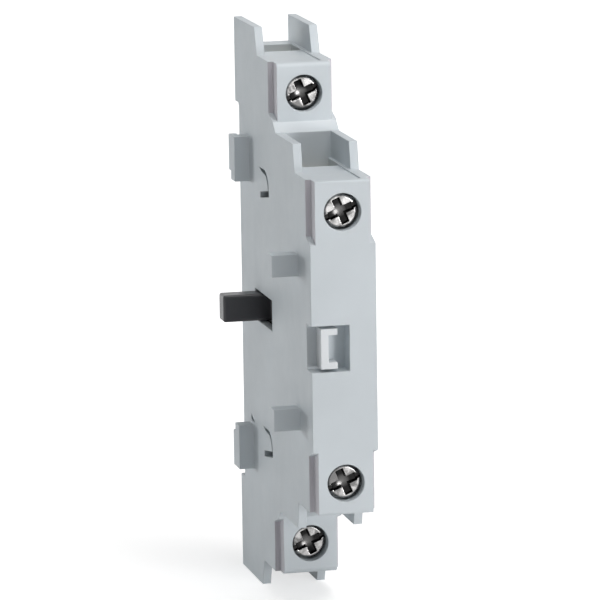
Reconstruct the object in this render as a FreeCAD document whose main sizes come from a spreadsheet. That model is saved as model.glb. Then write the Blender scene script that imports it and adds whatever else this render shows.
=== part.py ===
import FreeCAD, Part

import math
import os

import Sketcher

# Auxiliary contact block for the flank of a contactor, in millimetres, +Z up.
# The origin is the middle of the mating flank: x runs from that flank into the block,
# y from the front face back to the rear face, and z from mid height up.
# The slide's lever, the hooks and the lugs stand out of the mating flank, towards -X.

SIZES = {
    # moulded body
    "body_width": 9.0,
    "rear_tier_half": 35.7,
    "front_tier_half": 22.65,
    "prong_rise": 3.75,
    "prong_wall": 1.2,
    "rear_prong_reach": 12.8,
    "rear_prong_lean": 1.5,
    "front_prong_reach": 11.9,
    "front_prong_lean": 0.8,
    "foot_depth": 1.6,
    "foot_rise": 1.2,
    "recess_depth": 2.4,
    "recess_above": 27.5,
    "recess_below": 26.1,
    "recess_lead": 0.4,
    "roof_round": 0.8,
    "brow_round": 0.3,
    "roof_sink": 0.25,
    "roof_lip": 1.3,
    "rabbet_width": 0.72,
    "rabbet_depth": 2.4,
    "rabbet_height": 8.55,
    "rabbet_margin": 0.15,
    "rabbet_slant": 0.8,
    # walls and the side cover
    "flank_wall": 1.2,
    "chamber_side_gap": 0.4,
    "roof_wall": 1.2,
    "rear_wall": 1.2,
    "rear_block": 3.4,
    "partition": 1.2,
    "groove_wall": 2.4,
    "front_pin_wall": 3.0,
    "rear_pin_wall": 4.8,
    "front_wall": 3.8,
    "cover_thickness": 1.2,
    "cover_rim": 0.6,
    "cover_front_rim": 3.2,
    "cover_clearance": 0.05,
    "pin_radius": 0.7,
    "pin_clearance": 0.05,
    "pin_length": 3.0,
    # terminals
    "screw_drop": 4.25,
    "bore_radius": 2.55,
    "bore_depth": 2.9,
    "bore_floor": 1.2,
    "shank_hole_radius": 1.65,
    "room_height": 5.9,
    "entry_inset": 0.4,
    "entry_margin": 0.1,
    "head_radius": 2.3,
    "head_height": 1.8,
    "head_edge": 0.35,
    "cross_width": 1.0,
    "cross_length": 3.5,
    "cross_depth": 0.9,
    "slot_width": 0.65,
    "slot_depth": 0.55,
    "slot_overrun": 0.2,
    "thread_radius": 1.5,
    "thread_clearance": 0.05,
    "cage_side_gap": 0.45,
    "cage_rear_gap": 0.3,
    "cage_lead": 5.2,
    "cage_height": 5.4,
    "cage_depth": 10.5,
    "cage_side": 0.6,
    "cage_nut_wall": 1.8,
    "cage_jaw_wall": 0.9,
    "cage_round": 0.5,
    # contacts
    "strip_lead": 4.2,
    "strip_side_gap": 0.15,
    "strip_thickness": 0.8,
    "strip_end_reach": 2.6,
    "strip_gap": 0.1,
    "strip_inner_end": 4.3,
    "tip_height": 6.0,
    "tip_radius": 1.1,
    "tip_head": 0.6,
    "tip_shank_radius": 0.6,
    "tip_clearance": 0.02,
    "bridge_half": 7.6,
    "bridge_side_gap": 0.2,
    "bridge_thickness": 0.8,
    "bridge_stroke": 1.2,
    "rest_gap": 0.05,
    "end_gap": 0.1,
    # slide and lever
    "slide_travel": 6.5,
    "slide_half": 3.6,
    "slide_gap": 0.15,
    "slide_side_gap": 0.3,
    "cheek": 1.0,
    "rear_bar": 1.5,
    "middle_bar": 1.6,
    "front_bar": 2.0,
    "lever_reach": 5.3,
    "lever_height": 3.8,
    "lever_centre": 0.45,
    "lever_depth": 3.0,
    "lever_lead": 2.95,
    "lever_round": 0.35,
    "lever_gap": 0.5,
    "lever_side_gap": 0.25,
    "chamber_half": 13.8,
    # springs
    "opening_spring_length": 4.3,
    "closing_spring_length": 4.15,
    "contact_spring_radius": 1.15,
    "contact_spring_wire": 0.3,
    "return_spring_radius": 1.5,
    "return_spring_wire": 0.4,
    "spring_seat": 0.05,
    "contact_peg_radius": 0.7,
    "contact_peg_length": 0.9,
    "return_peg_radius": 1.0,
    "return_peg_length": 2.2,
    # mating flank
    "hook_reach": 2.15,
    "hook_height": 6.3,
    "hook_centre": 20.5,
    "hook_front": 8.8,
    "hook_depth": 2.5,
    "hook_lip": 1.2,
    "hook_lip_reach": 1.1,
    "hook_lip_short": 1.2,
    "lug_reach": 3.65,
    "lug_height": 3.0,
    "lug_depth": 2.4,
    "lug_setback": 9.5,
    "lug_upper_centre": 10.3,
    "lug_lower_centre": 10.8,
    "slit_upper": 17.7,
    "slit_lower": 18.85,
    "slit_centre": 18.0,
    "slit_radius": 2.55,
    "slit_width": 0.6,
    "slit_tail": 3.0,
    "slit_tail_bend": 1.8,
    "slit_tail_rise": 0.18,
    "notch_length": 5.3,
    "notch_height": 0.85,
    "notch_slope": 0.85,
    "port_depth": 7.2,
    "port_level": 16.9,
    "port_length": 2.2,
    "port_height": 0.9,
    # marker pocket
    "pocket_width": 5.25,
    "pocket_half": 3.15,
    "pocket_depth": 2.8,
    "clip_left": 1.34,
    "clip_width": 2.29,
    "clip_half": 2.75,
    "clip_bar": 1.06,
    "clip_arm": 0.9,
    "clip_sunk": 0.15,
}

RETURN_TURNS = 9
CONTACT_TURNS = 4
COIL_SIDES = 12
WIRE_SIDES = 6
CROSS_ANGLE = 23.0
# pitch of a coil's closed turns, in wire thicknesses
CLOSED_PITCH = 1.05
UPPER = 1
LOWER = -1

doc = FreeCAD.newDocument("ContactBlock")
sheet = doc.addObject("Spreadsheet::Sheet", "Sizes")


class Size:
    """A length: its value, and the expression on the sheet that gives it."""

    def __init__(self, value, text):
        self.value = value
        self.text = text

    def __add__(self, other):
        other = as_size(other)
        return Size(self.value + other.value, f"({self.text} + {other.text})")

    def __sub__(self, other):
        other = as_size(other)
        return Size(self.value - other.value, f"({self.text} - {other.text})")

    def __rsub__(self, other):
        return as_size(other) - self

    def __mul__(self, other):
        other = as_size(other)
        return Size(self.value * other.value, f"({self.text} * {other.text})")

    def __truediv__(self, other):
        other = as_size(other)
        return Size(self.value / other.value, f"({self.text} / {other.text})")

    def __neg__(self):
        return Size(-self.value, f"(-1 * {self.text})")

    __radd__ = __add__
    __rmul__ = __mul__


def as_size(number):
    return number if isinstance(number, Size) else Size(float(number), f"({number})")


class Sheet:
    """The named sizes, each as an attribute."""


def fill_sheet():
    """Write one named cell for each size, and return the names as attributes."""
    named = Sheet()
    for row, (alias, value) in enumerate(SIZES.items(), start=1):
        sheet.set(f"A{row}", alias)
        sheet.set(f"B{row}", str(value))
        sheet.setAlias(f"B{row}", alias)
        setattr(named, alias, Size(value, f"Sizes.{alias}"))
    doc.recompute()
    return named


S = fill_sheet()


def back(depth):
    """Place along y of a point that lies this far in front of the rear face."""
    return BODY_DEPTH / 2 - depth


def bind(thing, name, size):
    thing.setExpression(name, as_size(size).text)


def new_body(label):
    body = doc.addObject("PartDesign::Body", label)
    body.Label = label
    return body


def place(thing, x=0.0, y=0.0, z=0.0):
    """Move a sub-part to its seat, with the seat bound to the sheet."""
    seat = [as_size(size) for size in (x, y, z)]
    turn = thing.Placement.Rotation
    thing.Placement = FreeCAD.Placement(FreeCAD.Vector(*[size.value for size in seat]), turn)
    for axis, size in zip("xyz", seat):
        bind(thing, f"Placement.Base.{axis}", size)


def new_sketch(body, name, plane, level):
    """Sketch on an origin plane of its own body, lifted by level along the plane's normal."""
    sketch = body.newObject("Sketcher::SketchObject", name)
    origin_plane = [item for item in body.Origin.OriginFeatures if item.Role == plane][0]
    sketch.AttachmentSupport = [(origin_plane, "")]
    sketch.MapMode = "FlatFace"
    bind(sketch, "AttachmentOffset.Base.z", level)
    return sketch


def hold(sketch, kind, geometry, point, name, size):
    """Tie one coordinate of a point to the sketch's origin."""
    index = sketch.addConstraint(Sketcher.Constraint(kind, -1, 1, geometry, point, size.value))
    sketch.renameConstraint(index, name)
    bind(sketch, f"Constraints.{name}", size)


def arc_between(start, end, radius, bend):
    """Arc under half a turn from start to end, its centre left (1) or right (-1) of the chord."""
    chord = end - start
    rise = math.sqrt(radius ** 2 - (chord.Length / 2) ** 2)
    across = FreeCAD.Vector(-chord.y, chord.x, 0).normalize()
    centre = start + chord * 0.5 + across * rise * bend
    middle = centre - across * radius * bend
    return Part.Arc(start, middle, end)


def draw_outline(sketch, name, corners, arcs=None):
    """Closed outline through the corners; arcs gives radius and bend of the edge after a corner."""
    arcs = arcs or {}
    corners = [(as_size(across), as_size(up)) for across, up in corners]
    places = [FreeCAD.Vector(across.value, up.value, 0) for across, up in corners]
    count = len(corners)
    edges = []
    starts = []
    for index in range(count):
        start = places[index]
        end = places[(index + 1) % count]
        if index in arcs:
            radius, bend = arcs[index]
            edge = sketch.addGeometry(arc_between(start, end, radius.value, bend))
            # an arc runs anticlockwise, so one bending right begins at its far end
            ends = (1, 2) if bend == 1 else (2, 1)
        else:
            edge = sketch.addGeometry(Part.LineSegment(start, end))
            ends = (1, 2)
        edges.append((edge, ends))
        starts.append(ends[0])
    for index in range(count):
        edge, ends = edges[index]
        following, following_ends = edges[(index + 1) % count]
        sketch.addConstraint(
            Sketcher.Constraint("Coincident", edge, ends[1], following, following_ends[0]))
    for index, (across, up) in enumerate(corners):
        edge = edges[index][0]
        hold(sketch, "DistanceX", edge, starts[index], f"{name}_across_{index}", across)
        hold(sketch, "DistanceY", edge, starts[index], f"{name}_up_{index}", up)
        if index in arcs:
            radius = arcs[index][0]
            rounding = sketch.addConstraint(Sketcher.Constraint("Radius", edge, radius.value))
            sketch.renameConstraint(rounding, f"{name}_radius_{index}")
            bind(sketch, f"Constraints.{name}_radius_{index}", radius)


def draw_circle(sketch, name, across, up, radius):
    across = as_size(across)
    up = as_size(up)
    centre = FreeCAD.Vector(across.value, up.value, 0)
    edge = sketch.addGeometry(Part.Circle(centre, FreeCAD.Vector(0, 0, 1), radius.value))
    hold(sketch, "DistanceX", edge, 3, f"{name}_across", across)
    hold(sketch, "DistanceY", edge, 3, f"{name}_up", up)
    index = sketch.addConstraint(Sketcher.Constraint("Radius", edge, radius.value))
    sketch.renameConstraint(index, f"{name}_radius")
    bind(sketch, f"Constraints.{name}_radius", radius)


def add_along(body, name, sketch, length, along_normal=True):
    pad = body.newObject("PartDesign::Pad", name)
    pad.Profile = sketch
    pad.Reversed = not along_normal
    bind(pad, "Length", length)
    doc.recompute()
    return pad


def cut_along(body, name, sketch, length, along_normal=True):
    """Pocket, with a stop if it takes nothing away."""
    before = body.Shape.Volume
    pocket = body.newObject("PartDesign::Pocket", name)
    pocket.Profile = sketch
    pocket.Reversed = along_normal
    bind(pocket, "Length", length)
    doc.recompute()
    if body.Shape.Volume > before - 1e-6:
        raise RuntimeError(f"{name} cuts nothing")
    return pocket


def slab_sketch(body, name, outlines, low):
    """Sketch in the plane across x, of outlines given as lists of y and z."""
    sketch = new_sketch(body, f"{name}_sketch", "YZ_Plane", low)
    for index, outline in enumerate(outlines):
        corners, arcs = outline if isinstance(outline, tuple) else (outline, None)
        draw_outline(sketch, f"shape{index}", corners, arcs)
    return sketch


def add_slab(body, name, outlines, low, high):
    """Fill the outlines from x = low to x = high."""
    sketch = slab_sketch(body, name, outlines, low)
    return add_along(body, name, sketch, as_size(high) - low)


def cut_slab(body, name, outlines, low, high):
    """Clear the outlines from x = low to x = high."""
    sketch = slab_sketch(body, name, outlines, low)
    return cut_along(body, name, sketch, as_size(high) - low)


def block(rear, front, low, high):
    """Rectangle seen across x, from its depths in front of the rear face and its heights."""
    return [(back(rear), low), (back(front), low), (back(front), high), (back(rear), high)]


def mirrored_block(rear, front, low, high):
    """The same rectangle above and below mid height."""
    return [block(rear, front, low, high), block(rear, front, -high, -low)]


class Tier:
    """One of the two steps that carry terminals: its front plane and the height of its roof."""

    def __init__(self, name, front, half):
        self.name = name
        self.front = front
        self.half = half
        self.screw = half - S.screw_drop
        self.room_top = half - S.roof_wall
        self.room_low = half - S.roof_wall - S.room_height
        self.room_front = front - S.bore_depth - S.bore_floor
        self.room_rear = front - TERMINAL_DEPTH
        self.strip_front = front - STRIP_SETBACK
        self.strip_rear = self.strip_front - S.strip_thickness
        self.entry_rear = front - CAGE_SETBACK - S.entry_margin
        self.entry_front = self.strip_rear - S.strip_gap


# A terminal's places, as depths behind the front face of its tier.
CAGE_FRONT = S.bore_depth + S.bore_floor + S.cage_lead
CAGE_SETBACK = CAGE_FRONT + S.cage_depth
TERMINAL_DEPTH = CAGE_SETBACK + S.cage_rear_gap
STRIP_SETBACK = CAGE_FRONT + S.strip_lead
REAR = Tier("rear", S.rear_block + TERMINAL_DEPTH, S.rear_tier_half)

# Places along the contact row, at rest, as depths in front of the rear face. They run from the
# rear tier's strips through the slide to the front tier's, which place the front tier.
OPENING_FACE = REAR.strip_front + S.tip_head + S.rest_gap
OPENING_BRIDGE_REAR = OPENING_FACE + S.tip_head
OPENING_BRIDGE_FRONT = OPENING_BRIDGE_REAR + S.bridge_thickness
SLIDE_WINDOW_REAR = OPENING_BRIDGE_REAR - S.bridge_stroke
SLIDE_REAR = SLIDE_WINDOW_REAR - S.rear_bar
MIDDLE_BAR_REAR = OPENING_BRIDGE_FRONT + S.opening_spring_length
MIDDLE_BAR_FRONT = MIDDLE_BAR_REAR + S.middle_bar
CLOSING_BRIDGE_REAR = MIDDLE_BAR_FRONT + S.closing_spring_length
CLOSING_BRIDGE_FRONT = CLOSING_BRIDGE_REAR + S.bridge_thickness
CLOSING_FACE = CLOSING_BRIDGE_FRONT + S.tip_head
FRONT_STRIP_REAR = CLOSING_FACE + S.slide_travel + S.end_gap + S.tip_head
FRONT_BAR_REAR = CLOSING_BRIDGE_FRONT + S.rest_gap
SLIDE_FRONT = FRONT_BAR_REAR + S.front_bar
LEVER_REAR = SLIDE_REAR + S.lever_lead
LEVER_FRONT = LEVER_REAR + S.lever_depth

BODY_DEPTH = FRONT_STRIP_REAR + S.strip_thickness + STRIP_SETBACK
FRONT = Tier("front", BODY_DEPTH, S.front_tier_half)
TIERS = (REAR, FRONT)
TERMINALS = [(tier, side) for tier in TIERS for side in (UPPER, LOWER)]
SIDE_NAME = {UPPER: "upper", LOWER: "lower"}

MIDDLE = S.body_width / 2
COVER_INNER = S.body_width - S.cover_thickness
LANE_HALF = S.slide_half + S.slide_gap
LANE_FRONT = BODY_DEPTH - S.front_wall
LANE_REAR = S.recess_depth + S.rear_wall
CHAMBER_REAR = REAR.strip_rear - S.strip_gap
CHAMBER_FRONT = FRONT.strip_front + S.strip_gap
HOLLOW_LOW = LANE_HALF + S.partition
REAR_HOLLOW_FRONT = CHAMBER_REAR - S.partition
REAR_HOLLOW_TOP = REAR.room_low - S.rear_pin_wall
MIDDLE_HOLLOW_REAR = REAR.strip_front + S.strip_gap + S.groove_wall
MIDDLE_HOLLOW_LOW = S.chamber_half + S.partition
MIDDLE_HOLLOW_TOP = FRONT.half - S.partition
MIDDLE_HOLLOW_FRONT = FRONT.room_rear - S.front_pin_wall

# Places across the contact row, from the mating flank.
SLIDE_LEFT = S.flank_wall + S.slide_side_gap
SLIDE_RIGHT = COVER_INNER - S.slide_side_gap
WINDOW_LEFT = SLIDE_LEFT + S.cheek
WINDOW_RIGHT = SLIDE_RIGHT - S.cheek
BRIDGE_HALF_WIDTH = (WINDOW_RIGHT - WINDOW_LEFT) / 2 - S.bridge_side_gap
STRIP_HALF_WIDTH = BRIDGE_HALF_WIDTH
CAGE_HALF_WIDTH = (COVER_INNER - S.flank_wall) / 2 - S.cage_side_gap
STRIP_END_HALF_WIDTH = CAGE_HALF_WIDTH - S.cage_side - S.strip_side_gap

PINS = [
    ((MIDDLE_HOLLOW_FRONT + FRONT.room_rear) / 2, FRONT.screw),
    ((LANE_REAR + REAR_HOLLOW_FRONT) / 2, (REAR_HOLLOW_TOP + REAR.room_low) / 2),
]


def body_outline():
    """Side view of the moulding: two tiers, leaning prongs, sloped feet and the recess behind."""
    tip = S.prong_rise + REAR.half
    front_tip = S.prong_rise + FRONT.half
    half_view = [
        (back(0.0), tip),
        (back(S.rear_prong_reach), tip),
        (back(S.rear_prong_reach + S.rear_prong_lean), REAR.half),
        (back(REAR.front - S.roof_round), REAR.half),
        (back(REAR.front), REAR.half - S.roof_round),
        (back(REAR.front), front_tip + S.foot_rise),
        (back(REAR.front + S.foot_depth), front_tip),
        (back(REAR.front + S.front_prong_reach), front_tip),
        (back(REAR.front + S.front_prong_reach + S.front_prong_lean), FRONT.half),
        (back(FRONT.front - S.brow_round), FRONT.half),
        (back(FRONT.front), FRONT.half - S.brow_round),
    ]
    lower_view = [(across, -up) for across, up in reversed(half_view)]
    recess = [
        (back(0.0), -S.recess_below),
        (back(S.recess_depth), -S.recess_below),
        (back(S.recess_depth), S.recess_above - S.recess_lead),
        (back(S.recess_depth - S.recess_lead), S.recess_above),
        (back(0.0), S.recess_above),
    ]
    roof_edge = 3
    brow_edge = 9
    last = 2 * len(half_view) - 2
    arcs = {
        roof_edge: (S.roof_round, 1),
        brow_edge: (S.brow_round, 1),
        last - brow_edge: (S.brow_round, 1),
        last - roof_edge: (S.roof_round, 1),
    }
    return half_view + lower_view + recess, arcs


def cover_outline(gap):
    """Edge of the side cover's seat, drawn in by the given gap."""
    inset = S.cover_rim + gap
    front_inset = S.cover_front_rim + gap
    rear_top = REAR.half - inset
    front_top = FRONT.half - inset
    return [
        (back(inset), rear_top),
        (back(REAR.front - front_inset), rear_top),
        (back(REAR.front - front_inset), front_top),
        (back(FRONT.front - front_inset), front_top),
        (back(FRONT.front - front_inset), -front_top),
        (back(REAR.front - front_inset), -front_top),
        (back(REAR.front - front_inset), -rear_top),
        (back(inset), -rear_top),
        (back(inset), -S.recess_below - inset),
        (back(S.recess_depth + inset), -S.recess_below - inset),
        (back(S.recess_depth + inset), S.recess_above + inset),
        (back(inset), S.recess_above + inset),
    ]


def cut_prongs(body):
    """Gaps between the prongs, wire entries through the roofs and the sunk roofs in front."""
    gaps = []
    entries = []
    sunk = []
    reaches = {
        "rear": (as_size(0.0), S.rear_prong_reach + S.rear_prong_lean),
        "front": (REAR.front + S.foot_depth, REAR.front + S.front_prong_reach + S.front_prong_lean),
    }
    for tier in TIERS:
        rear, front = reaches[tier.name]
        gaps += mirrored_block(rear, front, tier.half, tier.half + S.prong_rise)
        entries += mirrored_block(tier.entry_rear, tier.entry_front, tier.room_top, tier.half)
        sunk += mirrored_block(
            tier.entry_rear, tier.front - S.roof_lip, tier.half - S.roof_sink, tier.half)
    cut_slab(body, "prong_gaps", gaps, S.prong_wall, S.body_width - S.prong_wall)
    entry_end = COVER_INNER - S.entry_inset
    cut_slab(body, "sunk_roofs", sunk, S.prong_wall, entry_end)
    return entries, entry_end


def cut_rabbets(body):
    """Slant-ended rabbets down the upright edges beside each screw, on both flanks."""
    outlines = []
    ends = {
        "rear": FRONT.half + S.prong_rise + S.foot_rise + S.rabbet_margin,
        "front": FRONT.half - S.rabbet_height,
    }
    for tier, side in TERMINALS:
        top = tier.half * side
        low = ends[tier.name] * side
        slant = S.rabbet_slant * side
        rear = back(tier.front - S.rabbet_depth)
        front = back(tier.front)
        outlines.append([(rear, top), (front, top), (front, low), (rear, low + slant)])
    cut_slab(body, "rabbets_mating", outlines, 0.0, S.rabbet_width)
    cut_slab(body, "rabbets_cover", outlines, S.body_width - S.rabbet_width, S.body_width)


def cut_rooms(body):
    """Everything hollow behind the side cover."""
    rooms = [block(LANE_REAR, LANE_FRONT, -LANE_HALF, LANE_HALF)]
    rooms += mirrored_block(LANE_REAR, REAR_HOLLOW_FRONT, HOLLOW_LOW, REAR_HOLLOW_TOP)
    rooms += mirrored_block(CHAMBER_FRONT + S.partition, LANE_FRONT, HOLLOW_LOW, S.chamber_half)
    rooms += mirrored_block(
        MIDDLE_HOLLOW_REAR, MIDDLE_HOLLOW_FRONT, MIDDLE_HOLLOW_LOW, MIDDLE_HOLLOW_TOP)
    rooms += mirrored_block(
        MIDDLE_HOLLOW_REAR, REAR.room_front, MIDDLE_HOLLOW_TOP + S.partition,
        REAR.room_low - S.partition)
    for tier in TIERS:
        rooms += mirrored_block(tier.room_rear, tier.room_front, tier.room_low, tier.room_top)
    cut_slab(body, "rooms", rooms, S.flank_wall, COVER_INNER)
    chamber = [block(CHAMBER_REAR, CHAMBER_FRONT, -S.chamber_half, S.chamber_half)]
    chamber_floor = MIDDLE - STRIP_HALF_WIDTH - S.chamber_side_gap
    cut_slab(body, "contact_chamber", chamber, chamber_floor, COVER_INNER)
    grooves = []
    for tier in TIERS:
        grooves += mirrored_block(
            tier.strip_rear - S.strip_gap, tier.strip_front + S.strip_gap,
            S.chamber_half, tier.room_low)
    groove_floor = MIDDLE - STRIP_HALF_WIDTH - S.strip_gap
    cut_slab(body, "strip_grooves", grooves, groove_floor, COVER_INNER)


def cut_bores(body):
    """Screw bores in the front planes, with a seat for the head and a hole for the shank."""
    for tier in TIERS:
        plane = -back(tier.front)
        for name, radius, level, depth in (
            ("bores", S.bore_radius, plane, S.bore_depth),
            ("shank_holes", S.shank_hole_radius, plane - S.bore_depth, S.bore_floor),
        ):
            feature = f"{name}_{tier.name}"
            sketch = new_sketch(body, f"{feature}_sketch", "XZ_Plane", level)
            for side in (UPPER, LOWER):
                draw_circle(sketch, SIDE_NAME[side], MIDDLE, tier.screw * side, radius)
            cut_along(body, feature, sketch, depth, along_normal=False)


def slit_outline(level):
    """Round part of a latch slit with its pointed tail, above the given height."""
    inner = S.slit_radius - S.slit_width
    bend_across = back(S.slit_centre)
    tail = back(S.slit_centre - S.slit_tail)
    tail_bend = back(S.slit_centre - S.slit_tail_bend)
    corners = [
        (bend_across, level + S.slit_radius),
        (bend_across - S.slit_radius, level),
        (bend_across - S.slit_radius, level - S.slit_width),
        (bend_across - inner, level - S.slit_width),
        (bend_across - inner, level),
        (bend_across, level + inner),
        (tail_bend, level + inner + S.slit_tail_rise),
        (tail, level + S.slit_radius),
    ]
    arcs = {0: (S.slit_radius, 1), 4: (inner, -1)}
    return corners, arcs


def notch_outline(level):
    """Sloping notch at the lower end of a latch slit."""
    front = back(S.slit_centre + S.slit_radius)
    rear = back(S.slit_centre + S.slit_radius - S.notch_length)
    return [
        (front, level),
        (rear, level - S.notch_slope),
        (rear, level - S.notch_slope - S.notch_height),
        (front, level - S.notch_height),
    ]


def cut_flank(body):
    """Lever slot, latch slits and the small port in the mating flank."""
    lever_low = S.lever_centre - S.lever_height / 2 - S.lever_side_gap
    lever_high = S.lever_centre + S.lever_height / 2 + S.lever_side_gap
    slot_rear = LEVER_REAR - S.lever_gap
    slot_front = LEVER_FRONT + S.slide_travel + S.lever_gap
    slits = [block(slot_rear, slot_front, lever_low, lever_high)]
    for level in (S.slit_upper, -S.slit_lower):
        slits.append(slit_outline(level))
    cut_slab(body, "flank_slits", slits, 0.0, S.flank_wall)
    notches = [notch_outline(level) for level in (S.slit_upper, -S.slit_lower)]
    cut_slab(body, "flank_notches", notches, 0.0, S.flank_wall)
    port = [
        (back(S.port_depth), -S.port_level),
        (back(S.port_depth + S.port_length), -S.port_level),
        (back(S.port_depth), S.port_height - S.port_level),
    ]
    cut_slab(body, "flank_port", [port], 0.0, S.flank_wall / 2)


def add_hooks(body):
    """Hooks with a lip that turns back, and plain lugs, on the mating flank."""
    front = S.hook_front
    rear = S.hook_front - S.hook_depth
    stems = []
    lips = []
    for side in (UPPER, LOWER):
        low = S.hook_centre * side - S.hook_height / 2
        high = S.hook_centre * side + S.hook_height / 2
        stems.append(block(rear, front, low, high))
        lip_low = low + S.hook_lip_short if side == UPPER else low
        lip_high = high if side == UPPER else high - S.hook_lip_short
        lips.append(block(rear - S.hook_lip, rear, lip_low, lip_high))
    add_slab(body, "hook_stems", stems, -S.hook_reach, 0.0)
    add_slab(body, "hook_lips", lips, -S.hook_reach, S.hook_lip_reach - S.hook_reach)
    lugs = []
    lug_rear = BODY_DEPTH - S.lug_setback
    for centre in (S.lug_upper_centre, -S.lug_lower_centre):
        lugs.append(block(
            lug_rear, lug_rear + S.lug_depth,
            centre - S.lug_height / 2, centre + S.lug_height / 2))
    add_slab(body, "lugs", lugs, -S.lug_reach, 0.0)


def make_housing():
    body = new_body("housing")
    add_slab(body, "moulding", [body_outline()], 0.0, S.body_width)
    entries, entry_end = cut_prongs(body)
    cut_rabbets(body)
    cut_slab(body, "cover_seat", [cover_outline(0.0)], COVER_INNER, S.body_width)
    cut_rooms(body)
    cut_slab(body, "wire_entries", entries, S.prong_wall, entry_end)
    cut_bores(body)
    cut_flank(body)
    pocket = [block(FRONT.front - S.pocket_depth, FRONT.front, -S.pocket_half, S.pocket_half)]
    cut_slab(body, "marker_pocket", pocket, 0.0, S.pocket_width)
    pin_sketch = new_sketch(body, "pin_holes_sketch", "YZ_Plane", COVER_INNER)
    for index, (depth, height) in enumerate(PINS):
        for side in (UPPER, LOWER):
            name = f"pin{index}_{SIDE_NAME[side]}"
            radius = S.pin_radius + S.pin_clearance
            draw_circle(pin_sketch, name, back(depth), height * side, radius)
    cut_along(body, "pin_holes", pin_sketch, S.pin_length + S.pin_clearance, along_normal=False)
    add_hooks(body)
    peg_sketch = new_sketch(body, "spring_peg_sketch", "XZ_Plane", -back(LANE_FRONT))
    draw_circle(peg_sketch, "peg", MIDDLE, 0.0, S.return_peg_radius)
    add_along(body, "spring_peg", peg_sketch, S.return_peg_length, along_normal=False)
    return body


def make_cover():
    body = new_body("side_cover")
    add_slab(body, "plate", [cover_outline(S.cover_clearance)], COVER_INNER, S.body_width)
    sketch = new_sketch(body, "pins_sketch", "YZ_Plane", COVER_INNER)
    for index, (depth, height) in enumerate(PINS):
        for side in (UPPER, LOWER):
            name = f"pin{index}_{SIDE_NAME[side]}"
            draw_circle(sketch, name, back(depth), height * side, S.pin_radius)
    add_along(body, "pins", sketch, S.pin_length, along_normal=False)
    return body


def make_clip():
    """Bracket-shaped marker seated on the floor of its pocket."""
    body = new_body("marker_clip")
    right = S.clip_left + S.clip_width
    bar = S.clip_left + S.clip_bar
    arm = S.clip_half - S.clip_arm
    corners = [
        (S.clip_left, -S.clip_half), (right, -S.clip_half), (right, -arm), (bar, -arm),
        (bar, arm), (right, arm), (right, S.clip_half), (S.clip_left, S.clip_half),
    ]
    floor = FRONT.front - S.pocket_depth
    sketch = new_sketch(body, "bracket_sketch", "XZ_Plane", -back(floor))
    draw_outline(sketch, "bracket", corners)
    add_along(body, "bracket", sketch, S.pocket_depth - S.clip_sunk)
    return body


def round_edges(body, name, radius, wanted):
    """Fillet the edges of the body's last feature whose middle passes the test."""
    base = body.Tip
    names = []
    for index, edge in enumerate(base.Shape.Edges, start=1):
        middle = edge.valueAt((edge.FirstParameter + edge.LastParameter) / 2)
        if wanted(edge, middle):
            names.append(f"Edge{index}")
    fillet = body.newObject("PartDesign::Fillet", name)
    fillet.Base = (base, names)
    bind(fillet, "Radius", radius)
    doc.recompute()
    return fillet


def add_peg(body, name, depth, radius, length, forward):
    """Round peg on the slide's centre line, that holds a spring in place."""
    sketch = new_sketch(body, f"{name}_sketch", "XZ_Plane", -back(depth))
    draw_circle(sketch, "peg", MIDDLE, 0.0, radius)
    add_along(body, name, sketch, length, along_normal=forward)


def make_slide():
    """Slide: two cheeks joined by three bars, a lever through the flank, and spring pegs."""
    body = new_body("actuator_slide")
    frame = [block(SLIDE_REAR, SLIDE_FRONT, -S.slide_half, S.slide_half)]
    add_slab(body, "frame", frame, SLIDE_LEFT, SLIDE_RIGHT)
    windows = [
        block(SLIDE_WINDOW_REAR, MIDDLE_BAR_REAR, -S.slide_half, S.slide_half),
        block(MIDDLE_BAR_FRONT, FRONT_BAR_REAR, -S.slide_half, S.slide_half),
    ]
    cut_slab(body, "windows", windows, WINDOW_LEFT, WINDOW_RIGHT)
    low = S.lever_centre - S.lever_height / 2
    high = S.lever_centre + S.lever_height / 2
    lever = [block(LEVER_REAR, LEVER_FRONT, low, high)]
    add_slab(body, "lever", lever, -S.lever_reach, SLIDE_LEFT)
    round_edges(
        body, "lever_rounding", S.lever_round,
        lambda edge, middle: middle.x < SLIDE_LEFT.value - 0.1 and edge.BoundBox.XMin < 0.0)
    add_peg(body, "peg_opening", MIDDLE_BAR_REAR, S.contact_peg_radius, S.contact_peg_length, False)
    add_peg(body, "peg_closing", MIDDLE_BAR_FRONT, S.contact_peg_radius, S.contact_peg_length, True)
    add_peg(body, "peg_return", SLIDE_FRONT, S.return_peg_radius, S.return_peg_length, True)
    return body


def make_bridge(name, rear):
    """Flat contact bridge across both poles, with a hole at each end for its rivet."""
    body = new_body(name)
    half = BRIDGE_HALF_WIDTH
    nose = half / 2
    corners = [
        (MIDDLE - nose, -S.bridge_half), (MIDDLE + nose, -S.bridge_half),
        (MIDDLE + half, nose - S.bridge_half), (MIDDLE + half, S.bridge_half - nose),
        (MIDDLE + nose, S.bridge_half), (MIDDLE - nose, S.bridge_half),
        (MIDDLE - half, S.bridge_half - nose), (MIDDLE - half, nose - S.bridge_half),
    ]
    sketch = new_sketch(body, "blade_sketch", "XZ_Plane", -back(rear))
    draw_outline(sketch, "blade", corners)
    add_along(body, "blade", sketch, S.bridge_thickness)
    holes = new_sketch(body, "holes_sketch", "XZ_Plane", -back(rear))
    for side in (UPPER, LOWER):
        radius = S.tip_shank_radius + S.tip_clearance
        draw_circle(holes, SIDE_NAME[side], MIDDLE, S.tip_height * side, radius)
    cut_along(body, "holes", holes, S.bridge_thickness)
    return body


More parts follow.
